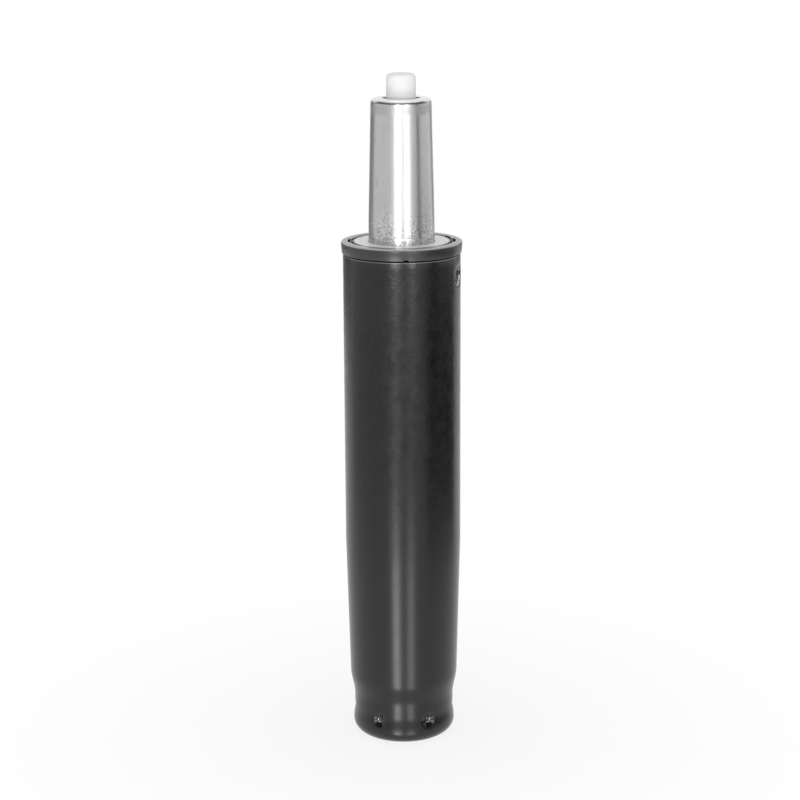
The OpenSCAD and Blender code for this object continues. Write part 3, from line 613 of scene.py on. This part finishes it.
def bright_steel():
    """Drawn and ground steel with fine streaks along it and faint stains.

    A mottled band lies where the collar wipes it, a duller ring where its end was rolled, and the
    roll itself is polished.
    """
    material, tree, shader, where = surface("tube_steel", 1.0)
    streaks = grain(tree, where, 0.5, 4, (1, 1, 0.012))
    hairs = grain(tree, where, 0.16, 3, (1, 1, 0.02))
    stains = grain(tree, where, 1.6, 5, (1, 1, 0.45))
    specks = grain(tree, where, 0.75)
    parts = tree.nodes.new("ShaderNodeSeparateXYZ")
    tree.links.new(where, parts.inputs["Vector"])
    height = parts.outputs["Z"]
    from_wiper = math_node(tree, "ABSOLUTE", math_node(tree, "SUBTRACT", height, collar_top))
    handled = spread(tree, from_wiper, 1, 0, 4 * mm, 16 * mm)
    from_score = math_node(tree, "ABSOLUTE", math_node(tree, "SUBTRACT", height, scored_height))
    scored = spread(tree, from_score, 0.14, 0, 1.2 * mm, 2.4 * mm)

    stained = math_node(tree, "MULTIPLY", spread(tree, stains, 0, 1, 0.56, 0.72), 0.35)
    dark_specks = math_node(tree, "MULTIPLY", spread(tree, specks, 0, 0.45, 0.52, 0.6), handled)
    pale_specks = math_node(tree, "MULTIPLY", spread(tree, specks, 0.8, 0, 0.4, 0.5), handled)
    polished = spread(tree, height, 0, 1, polish_low, polish_high)
    tint = mix_colour(tree, spread(tree, streaks, 0, 1), (0.47, 0.47, 0.475), (0.55, 0.55, 0.555))
    tint = mix_colour(tree, stained, tint, (0.4, 0.4, 0.41))
    tint = mix_colour(tree, dark_specks, tint, (0.2, 0.2, 0.205))
    tint = mix_colour(tree, pale_specks, tint, (0.8, 0.8, 0.8))
    tint = mix_colour(tree, polished, tint, (0.76, 0.76, 0.765))
    tree.links.new(tint, shader.inputs["Base Color"])

    rough = math_node(tree, "ADD", spread(tree, streaks, 0.27, 0.31),
                      math_node(tree, "MULTIPLY", stained, 0.3))
    tree.links.new(math_node(tree, "ADD", rough, scored), shader.inputs["Roughness"])
    relief = math_node(tree, "ADD", math_node(tree, "MULTIPLY", hairs, 0.005),
                       math_node(tree, "MULTIPLY", specks, handled))
    waves = math_node(tree, "MULTIPLY", grain(tree, where, 5, 1, (1, 1, 0.3)), 0.3)
    raise_surface(tree, shader, math_node(tree, "ADD", relief, waves), 0.12, 0.4)
    return material


tube_steel = bright_steel()
tube = turned_piece(
    "bright_tube",
    [(tube_foot_mouth, tube_low), (tube_foot_land, tube_low)]
    + arc(tube_r - tube_roll, tube_low + tube_roll, tube_roll, -90, 0, 10)
    + straight(tube_r, tube_low + tube_roll, tube_r, tube_taper, 4)
    + straight(tube_r, tube_taper, tube_top_r, tube_top - tube_roll, 4)
    + arc(tube_top_r - tube_roll, tube_top - tube_roll, tube_roll, 0, 90, 14)
    + [(tube_mouth + tube_mouth_edge, tube_top), (tube_mouth, tube_top - tube_mouth_edge),
       (tube_mouth, tube_top - tube_wall)]
    + arc(tube_top_r - tube_roll, tube_top - tube_roll, tube_roll - tube_wall, 90, 0, 5)
    + [(tube_r - tube_wall, tube_taper)]
    + arc(tube_r - tube_roll, tube_low + tube_roll, tube_roll - tube_wall, 0, -90, 5)
    + [(tube_foot_land, tube_low + tube_wall)],
    tube_steel, segments=256)
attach(tube, "gas_spring")
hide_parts("pressure_tube")


# Release button: a milky white plastic cap with a blind hole, pushed on the release pin. It stands
# in the dark mouth of the tube, where the seat's lever presses it down.
button_r = 6.2 * mm
button_low = 276.5 * mm
button_top = 290 * mm
button_bore = 2.6 * mm
button_bore_end = 286.4 * mm
button_low_edge = 0.5 * mm
button_round = 2 * mm
button_flat_r = 3 * mm


def milky_plastic():
    """White plastic that lets a little light into its edges."""
    material, tree, shader, where = surface("button_plastic")
    cloud = grain(tree, where, 3)
    tree.links.new(mix_colour(tree, spread(tree, cloud, 0, 1), (0.82, 0.82, 0.815), (0.86, 0.86, 0.855)),
                   shader.inputs["Base Color"])
    tree.links.new(spread(tree, cloud, 0.5, 0.56), shader.inputs["Roughness"])
    shader.inputs["Subsurface Weight"].default_value = 0.2
    shader.inputs["Subsurface Radius"].default_value = (1, 1, 1)
    shader.inputs["Subsurface Scale"].default_value = 2 * mm
    shader.inputs["Specular IOR Level"].default_value = 0.2
    shader.inputs["Sheen Weight"].default_value = 0.4
    shader.inputs["Sheen Roughness"].default_value = 0.5
    raise_surface(tree, shader, grain(tree, where, 0.4, 2), 0.004)
    return material


button_white = milky_plastic()
button = turned_piece(
    "release_button",
    [(0, button_bore_end), (button_bore, button_bore_end), (button_bore, button_low),
     (button_r - button_low_edge, button_low), (button_r, button_low + button_low_edge)]
    + arc(button_r - button_round, button_top - button_round, button_round, 0, 90, 12)
    + [(button_flat_r, button_top), (0, button_top)],
    button_white, segments=128, closed=False)
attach(button, "button")
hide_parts("button_cap")


# Pieces inside the foot and the gas spring: the base cup and its ball bearing, the rod with its
# piston, the seals and the release valve. They keep the frame's shapes and get their own finishes.
def worked_steel(name, base, roughness, size, stretch=(1, 1, 1), depth=0.004):
    """Plain steel with the marks that its making leaves."""
    material, tree, shader, where = surface(name, 1.0)
    marks = grain(tree, where, size, 4, stretch)
    dark = tuple(channel * 0.78 for channel in base)
    tree.links.new(mix_colour(tree, spread(tree, marks, 0, 1), dark, base), shader.inputs["Base Color"])
    tree.links.new(spread(tree, marks, roughness - 0.06, roughness + 0.08), shader.inputs["Roughness"])
    raise_surface(tree, shader, marks, depth)
    return material


def black_rubber():
    """Rubber with a dull bloom."""
    material, tree, shader, where = surface("rubber")
    bloom = grain(tree, where, 2.5, 4)
    tree.links.new(mix_colour(tree, spread(tree, bloom, 0, 1), (0.014, 0.014, 0.014), (0.034, 0.034, 0.034)),
                   shader.inputs["Base Color"])
    tree.links.new(spread(tree, bloom, 0.6, 0.8), shader.inputs["Roughness"])
    raise_surface(tree, shader, grain(tree, where, 0.4, 3), 0.01)
    return material


finishes = {
    "pressed_steel": worked_steel("pressed_steel", (0.48, 0.48, 0.49), 0.38, 2.2),
    "plain_steel": worked_steel("plain_steel", (0.55, 0.55, 0.56), 0.32, 0.6, (1, 1, 0.2)),
    "blackened_steel": worked_steel("blackened_steel", (0.05, 0.05, 0.052), 0.4, 0.8),
    "bearing_steel": worked_steel("bearing_steel", (0.66, 0.66, 0.67), 0.2, 0.5, (1, 1, 3)),
    "rod_chrome": worked_steel("rod_chrome", (0.7, 0.7, 0.71), 0.12, 0.4, (1, 1, 4), 0.001),
    "brass": worked_steel("brass", (0.72, 0.52, 0.25), 0.28, 0.5, (1, 1, 5)),
    "rubber": black_rubber(),
    "piston_plastic": moulded_plastic("piston_plastic", (0.55, 0.52, 0.42), 0.4),
}
finish_of = {
    "base_cup": "pressed_steel", "bumper_seat": "pressed_steel",
    "bearing_lower_race": "bearing_steel", "bearing_upper_race": "bearing_steel",
    "bearing_balls": "bearing_steel", "bearing_cage": "brass",
    "rubber_bumper": "rubber", "rod_seal": "rubber", "piston_seal": "rubber",
    "valve_o_ring_upper": "rubber", "valve_o_ring_lower": "rubber",
    "pin_seal_upper": "rubber", "pin_seal_lower": "rubber",
    "piston_rod": "rod_chrome", "release_pin": "rod_chrome",
    "piston": "piston_plastic", "rod_guide": "piston_plastic",
    "piston_nut": "plain_steel", "rod_washer": "plain_steel", "retaining_clip": "plain_steel",
    "inner_tube": "plain_steel", "seal_backing_ring": "plain_steel", "valve_spacer": "blackened_steel",
    "valve_body": "brass",
}
for node, finish in finish_of.items():
    inner_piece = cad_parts[node]
    inner_piece.data.materials.clear()
    inner_piece.data.materials.append(finishes[finish])


# Floor: a pale table round the foot that fades to the white backdrop and keeps the soft shadow.
# The light and the mirror image of the low lamps pass through it, because the camera looks down and
# sees those lamps in the column's coat.
floor_r = 0.32
floor_gap = 0.1 * mm
floor_sides = 96
floor_mesh = bpy.data.meshes.new("floor")
turns = [2 * math.pi * i / floor_sides for i in range(floor_sides)]
rim = [(floor_r * math.cos(turn), floor_r * math.sin(turn), 0) for turn in turns]
floor_mesh.from_pydata(rim, [], [range(floor_sides)])
floor = bpy.data.objects.new("floor", floor_mesh)
floor.location = (0, 0, -floor_gap)
bpy.context.scene.collection.objects.link(floor)
floor_paint = bpy.data.materials.new("floor_paint")
floor_paint.use_nodes = True
tree = floor_paint.node_tree
tree.nodes.remove(tree.nodes["Principled BSDF"])
matt = tree.nodes.new("ShaderNodeBsdfDiffuse")
matt.inputs["Color"].default_value = (0.9, 0.9, 0.9, 1)
clear = tree.nodes.new("ShaderNodeBsdfTransparent")
glow = tree.nodes.new("ShaderNodeEmission")
where = tree.nodes.new("ShaderNodeTexCoord")
centre = tree.nodes.new("ShaderNodeVectorMath")
centre.operation = "LENGTH"
tree.links.new(where.outputs["Object"], centre.inputs[0])
fade = spread(tree, centre.outputs["Value"], 0.84, 1, 0.04, 0.2)
rays = tree.nodes.new("ShaderNodeLightPath")
blend = tree.nodes.new("ShaderNodeMixShader")
tree.links.new(math_node(tree, "MULTIPLY", fade, rays.outputs["Is Camera Ray"]), blend.inputs["Fac"])
tree.links.new(matt.outputs["BSDF"], blend.inputs[1])
tree.links.new(glow.outputs["Emission"], blend.inputs[2])
open_floor = tree.nodes.new("ShaderNodeMixShader")
tree.links.new(math_node(tree, "MAXIMUM", rays.outputs["Is Glossy Ray"], rays.outputs["Is Shadow Ray"]),
               open_floor.inputs["Fac"])
tree.links.new(blend.outputs["Shader"], open_floor.inputs[1])
tree.links.new(clear.outputs["BSDF"], open_floor.inputs[2])
tree.links.new(open_floor.outputs["Shader"], tree.nodes["Material Output"].inputs["Surface"])
floor_mesh.materials.append(floor_paint)


# Studio: a white backdrop on all sides, and four tall soft lamps in front of the cylinder, two high
# and two below the floor, whose light the coat shows as stripes. One weak lamp hangs above, and
# black, grey and pale screens out of the picture give the bright tube and the coat their bands.
world = bpy.data.worlds.new("backdrop")
bpy.context.scene.world = world
world.use_nodes = True
tree = world.node_tree
lighting = tree.nodes["Background"]
lighting.inputs["Color"].default_value = (1, 1, 1, 1)
lighting.inputs["Strength"].default_value = 0.64
backdrop = tree.nodes.new("ShaderNodeBackground")
backdrop.inputs["Color"].default_value = (1, 1, 1, 1)
rays = tree.nodes.new("ShaderNodeLightPath")
seen = math_node(tree, "MAXIMUM", rays.outputs["Is Camera Ray"], math_node(
    tree, "MAXIMUM", rays.outputs["Is Glossy Ray"], rays.outputs["Is Transmission Ray"]))
blend = tree.nodes.new("ShaderNodeMixShader")
tree.links.new(seen, blend.inputs["Fac"])
tree.links.new(lighting.outputs["Background"], blend.inputs[1])
tree.links.new(backdrop.outputs["Background"], blend.inputs[2])
tree.links.new(blend.outputs["Shader"], tree.nodes["World Output"].inputs["Surface"])


def around_object(bearing, distance, height):
    """A place beside the cylinder. Bearing 0 is the camera's side, and it grows to the right."""
    turn = math.radians(bearing)
    return distance * math.sin(turn), -distance * math.cos(turn), height


def soft_lamp(name, bearing, distance, width, low, high, radiance):
    """A tall soft lamp that faces the cylinder."""
    data = bpy.data.lights.new(name, "AREA")
    data.shape = "RECTANGLE"
    data.size = width
    data.size_y = high - low
    data.energy = radiance * math.pi * width * (high - low)
    lamp = bpy.data.objects.new(name, data)
    lamp.location = around_object(bearing, distance, (low + high) / 2)
    lamp.rotation_euler = (math.radians(90), 0, math.radians(bearing))
    lamp.visible_camera = False
    bpy.context.scene.collection.objects.link(lamp)
    return lamp


soft_lamp("lamp_left_low", -14.5, 1.3, 0.29, -0.9, -0.36, 7.5)
soft_lamp("lamp_left_high", -12, 1.3, 0.29, 0.05, 0.58, 8.0)
soft_lamp("lamp_right_low", 15.5, 1.3, 0.28, -0.9, -0.36, 4.0)
soft_lamp("lamp_right_high", 20, 1.3, 0.24, 0.05, 0.58, 6.8)
top_lamp = soft_lamp("lamp_above", 0, 0.1, 1.0, 0.9, 1.9, 0.3)
top_lamp.rotation_euler = (0, 0, 0)


def screen_paint(name, shade):
    """Matt paint of one grey."""
    paint = bpy.data.materials.new(name)
    paint.use_nodes = True
    shader = paint.node_tree.nodes["Principled BSDF"]
    shader.inputs["Base Color"].default_value = (shade, shade, shade, 1)
    shader.inputs["Roughness"].default_value = 1
    return paint


screen_black = screen_paint("screen_black", 0.02)
screen_grey = screen_paint("screen_grey", 0.35)
screen_pale = screen_paint("screen_pale", 0.8)


def screen(name, paint, first, last, distance, low, high):
    """A curved screen round the cylinder, from one bearing to another, out of the picture."""
    steps = max(2, round((last - first) / 5))
    around = [first + (last - first) * i / steps for i in range(steps + 1)]
    points = [around_object(turn, distance, height) for turn in around for height in (low, high)]
    faces = [(2 * i, 2 * i + 2, 2 * i + 3, 2 * i + 1) for i in range(steps)]
    mesh = bpy.data.meshes.new(name)
    mesh.from_pydata(points, [], faces)
    mesh.materials.append(paint)
    wall = bpy.data.objects.new(name, mesh)
    wall.visible_camera = False
    wall.visible_diffuse = False
    wall.visible_shadow = False
    bpy.context.scene.collection.objects.link(wall)


screen("screen_right", screen_black, 58.5, 69.5, 1.1, 0.04, 0.6)
screen("screen_right_low", screen_black, 47, 122, 1.15, -0.28, 0.03)
screen("screen_left_low", screen_pale, -115, 47, 1.4, -0.32, -0.02)
screen("screen_front", screen_black, -115, 115, 1.45, 0.48, 1.6)
screen("screen_back_left", screen_grey, -159, -117, 1.1, -0.04, 0.5)
screen("screen_back_right", screen_black, 138, 151, 1.1, 0.04, 0.5)

bpy.context.scene.view_settings.view_transform = "Standard"
